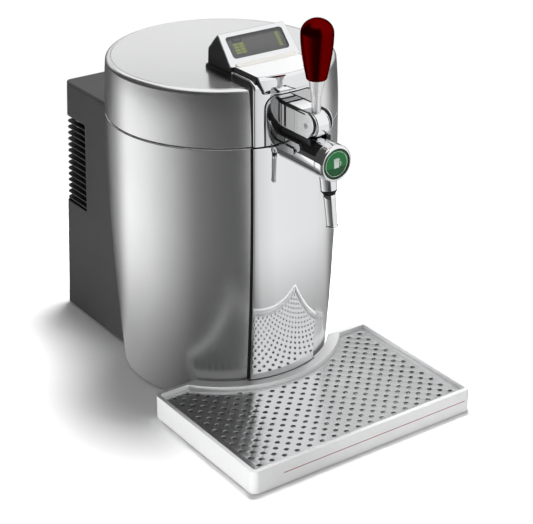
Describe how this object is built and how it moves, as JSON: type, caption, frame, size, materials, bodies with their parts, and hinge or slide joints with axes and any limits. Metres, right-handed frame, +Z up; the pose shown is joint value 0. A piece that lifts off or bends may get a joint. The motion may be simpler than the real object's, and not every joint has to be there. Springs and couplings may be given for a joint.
{
  "type": "mini keg beer dispenser",
  "caption": "Countertop cooler for a small keg, with a hinged lid, display head, lever tap, rear cooling housing and slotted drip tray.",
  "frame": {"origin": "on the floor, under the middle of the whole footprint, tray included", "axes": "+Z up; -Y towards the drip tray and tap, +X to the right of someone facing the tap"},
  "size_m": [0.286, 0.478, 0.4397],
  "materials": {
    "chrome": "polished chrome plate",
    "silver_shell": "satin silver metallic lacquer",
    "lid_grey": "light grey satin-gloss moulded plastic",
    "black_trim": "gloss black moulded plastic",
    "dark_case": "dark grey fine-textured moulded plastic",
    "white_plastic": "white moulded liner plastic",
    "foam": null,
    "rubber": "matt black rubber",
    "aluminium": "bare extruded aluminium",
    "steel": "bright steel",
    "grid_steel": "brushed steel sheet with punched holes",
    "tray_silver": "bright silver coated plastic",
    "handle_red": "deep red high-gloss resin",
    "badge_green": "green gloss enamel",
    "ceramic": "white ceramic",
    "board": "green circuit board",
    "window": "clear smoked window",
    "lcd": "grey liquid-crystal panel"
  },
  "bodies": {
    "cabinet": {"base_pan": "dark_case", "rubber_feet": "rubber", "outer_shell": "silver_shell", "column_panel": "chrome", "column_gasket": "rubber", "keg_well": "aluminium", "well_insulation": "foam", "deck": "white_plastic", "cold_block": "aluminium", "peltier_module": "ceramic", "heat_sink": "aluminium", "fan_frame": "black_trim", "rear_housing": "dark_case", "control_board": "board", "power_supply": "steel", "power_inlet": "black_trim", "case_screws": "steel", "hinge_bracket": "dark_case", "hinge_pin": "steel", "tap_bracket": "steel", "tap_plate": "chrome", "tap_gasket": "rubber", "tap_block": "chrome", "tap_inlay": "black_trim", "tap_screws": "steel", "lever_pin": "steel", "arm_trough": "chrome", "arm_cover": "black_trim", "side_plates": "chrome", "shoulder_bars": "black_trim", "end_cap": "chrome", "badge_disc": "badge_green", "spout_socket": "chrome", "spout_seal": "rubber", "spout_tube": "chrome"},
    "lid": {"lid_ring": "silver_shell", "lid_top": "lid_grey", "lid_column": "chrome", "lid_liner": "white_plastic", "lid_foam": "foam", "lid_seal": "rubber", "lid_knuckle": "dark_case", "head_housing": "black_trim", "head_frame": "chrome", "nose_core": "black_trim", "nose_cap": "chrome", "display_window": "window", "lcd_panel": "lcd", "display_board": "board"},
    "lever": {"lever_hub": "chrome", "lever_stem": "chrome", "lever_collar": "chrome", "lever_handle": "handle_red"},
    "valve": {"valve_plunger": "white_plastic"},
    "fan": {"fan_rotor": "black_trim"},
    "rocker": {"power_switch": "black_trim"},
    "tray": {"tray_pan": "tray_silver", "tray_feet": "rubber"},
    "grid": {"tray_grid": "grid_steel"}
  },
  "joints": [
    {"name": "lid_hinge", "type": "hinge", "parent": "cabinet", "child": "lid", "pos_m": [0, 0.156, 0.3], "axis": [-1, 0, 0], "range_deg": [0, 85]},
    {"name": "tap_lever", "type": "hinge", "parent": "cabinet", "child": "lever", "pos_m": [0, -0.1435, 0.332], "axis": [1, 0, 0], "range_deg": [0, 40]},
    {"name": "pinch_valve", "type": "slide", "parent": "cabinet", "child": "valve", "axis": [0, 0, 1], "range_m": [0, 0.004]},
    {"name": "fan_spin", "type": "hinge", "parent": "cabinet", "child": "fan", "pos_m": [0, 0.215, 0.19], "axis": [0, 1, 0], "continuous": true},
    {"name": "rocker_tilt", "type": "hinge", "parent": "cabinet", "child": "rocker", "pos_m": [-0.02, 0.22913, 0.06175], "axis": [1, 0, 0], "range_deg": [0, 14]},
    {"name": "tray_slide", "type": "slide", "parent": "cabinet", "child": "tray", "axis": [0, -1, 0], "range_m": [0, 0.2]},
    {"name": "grid_lift", "type": "slide", "parent": "tray", "child": "grid", "axis": [0, 0, 1], "range_m": [0, 0.06]}
  ],
  "couplings": [
    {"joint": "pinch_valve", "follows": "tap_lever", "m_per_rad": 0.0057}
  ]
}
